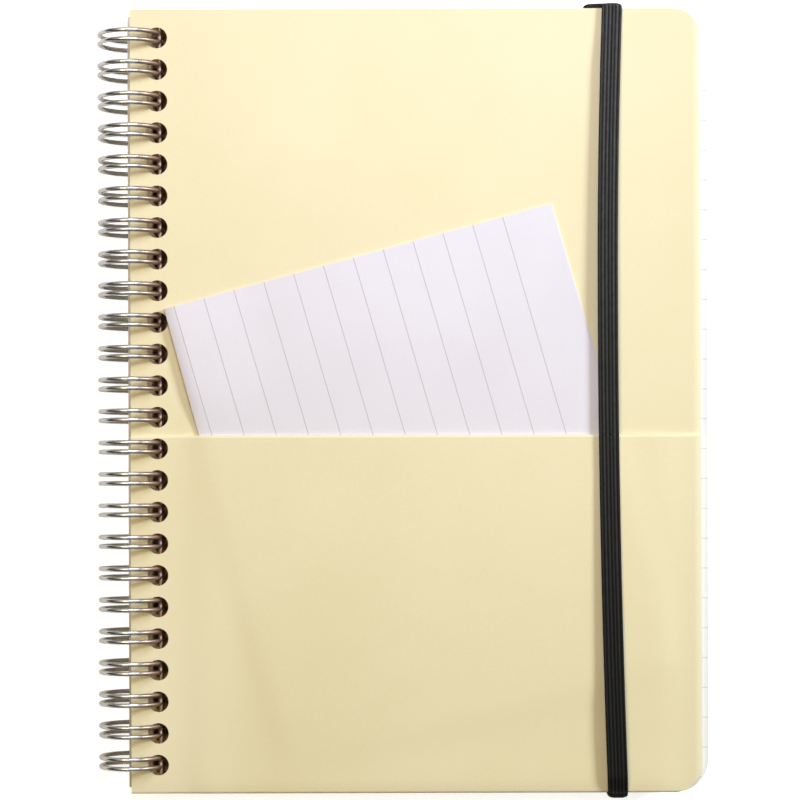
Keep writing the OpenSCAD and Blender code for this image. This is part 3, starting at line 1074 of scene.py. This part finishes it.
# %% Floor
FLOOR_SIDE = 6.0
FLOOR_WHITE = 0.86
FLOOR_GLOW = 0.8
FLOOR_TINT = (0.93, 0.96, 1.0, 1)
FLOOR_IN_METAL = 0.3
UNDER_HOLES = 9.0 * MM
UNDER_HOLES_HALF = 7.0 * MM
take(None)
bpy.ops.mesh.primitive_plane_add(size=FLOOR_SIDE)
floor = settle(bpy.context.object)
floor.name = "floor"
ground = Finish("floor")
ground.feed("Base Color", (FLOOR_WHITE, FLOOR_WHITE, FLOOR_WHITE, 1))
ground.feed("Roughness", 0.9)
ground.feed("Specular IOR Level", 0.0)
seen = node(ground.tree, "ShaderNodeLightPath").outputs
direct = maths(ground.tree, "MAXIMUM", seen["Is Camera Ray"], seen["Is Transmission Ray"])
in_metal = maths(ground.tree, "MULTIPLY", seen["Is Glossy Ray"], FLOOR_IN_METAL)
direct = maths(ground.tree, "MAXIMUM", direct, in_metal)
beside_spine = maths(ground.tree, "COMPARE", ground.x, COVER_LOW.x + UNDER_HOLES)
beside_spine.node.inputs[2].default_value = UNDER_HOLES_HALF
from_middle = maths(ground.tree, "ABSOLUTE", ground.y)
short_of_ends = maths(ground.tree, "LESS_THAN", from_middle, HOLE_D - FIRST_Y)
covered = maths(ground.tree, "MULTIPLY", beside_spine, short_of_ends)
direct = maths(ground.tree, "MULTIPLY", direct, maths(ground.tree, "SUBTRACT", 1.0, covered))
ground.feed("Emission Color", FLOOR_TINT)
ground.feed("Emission Strength", maths(ground.tree, "MULTIPLY", direct, FLOOR_GLOW))
paint(floor, ground)

# %% Lamps


def softbox(name, place, size, power, colour=(1, 1, 1), target=(0, 0, 0.01)):
    """A square soft light that faces a point of the book and isn't seen itself."""
    data = bpy.data.lights.new(name, "AREA")
    data.shape = "SQUARE"
    data.size = size
    data.energy = power
    data.color = colour
    lamp = bpy.data.objects.new(name, data)
    lamp.location = place
    lamp.rotation_mode = "QUATERNION"
    lamp.rotation_quaternion = (Vector(target) - Vector(place)).to_track_quat("-Z", "Y")
    lamp.visible_camera = False
    bpy.context.scene.collection.objects.link(lamp)
    print(f"lamp {name}: {power} W")


softbox("key", (1.04, 0.42, 0.55), 0.28, 17.6, (0.74, 0.83, 0.96))
softbox("head", (0.0, 0.17, 0.27), 0.16, 0.60, (0.68, 0.74, 1.0))
softbox("wire_glint", (-0.36, 0.05, 0.86), 0.30, 1.9, (1.0, 0.74, 0.36))

# %% World, brighter overhead and beyond the head, so that the wire shows its roundness
SKY_FILL = 0.23
SKY_LOW = 0.06
SKY_COLOUR = (1.0, 0.86, 0.34)
SKY_WAY = (0.3, 0.4, 0.87)
world = bpy.data.worlds.new("studio")
bpy.context.scene.world = world
world.use_nodes = True
sky = world.node_tree
background = sky.nodes["Background"]
way = node(sky, "ShaderNodeTexCoord").outputs["Generated"]
facing = node(sky, "ShaderNodeVectorMath", operation="DOT_PRODUCT")
sky.links.new(way, facing.inputs[0])
facing.inputs[1].default_value = SKY_WAY
ways = node(sky, "ShaderNodeLightPath").outputs
mirrored = maths(sky, "MAXIMUM", ways["Is Glossy Ray"], ways["Is Transmission Ray"])
glow = ramp(sky, facing.outputs["Value"], 0.0, 0.95, SKY_LOW, 1.0)
fill = maths(sky, "MULTIPLY", glow, maths(sky, "MAXIMUM", mirrored, SKY_FILL))
sky.links.new(maths(sky, "MAXIMUM", ways["Is Camera Ray"], fill), background.inputs["Strength"])
clear = maths(sky, "MAXIMUM", ways["Is Camera Ray"], mirrored)
sky.links.new(blend(sky, clear, SKY_COLOUR, (1, 1, 1)), background.inputs["Color"])
bpy.context.scene.view_settings.view_transform = "Standard"
print(f"the sky fills the shadows at {SKY_FILL}")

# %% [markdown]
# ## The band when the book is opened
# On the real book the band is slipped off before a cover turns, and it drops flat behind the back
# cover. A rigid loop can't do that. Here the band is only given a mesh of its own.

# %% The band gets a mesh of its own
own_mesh(band)
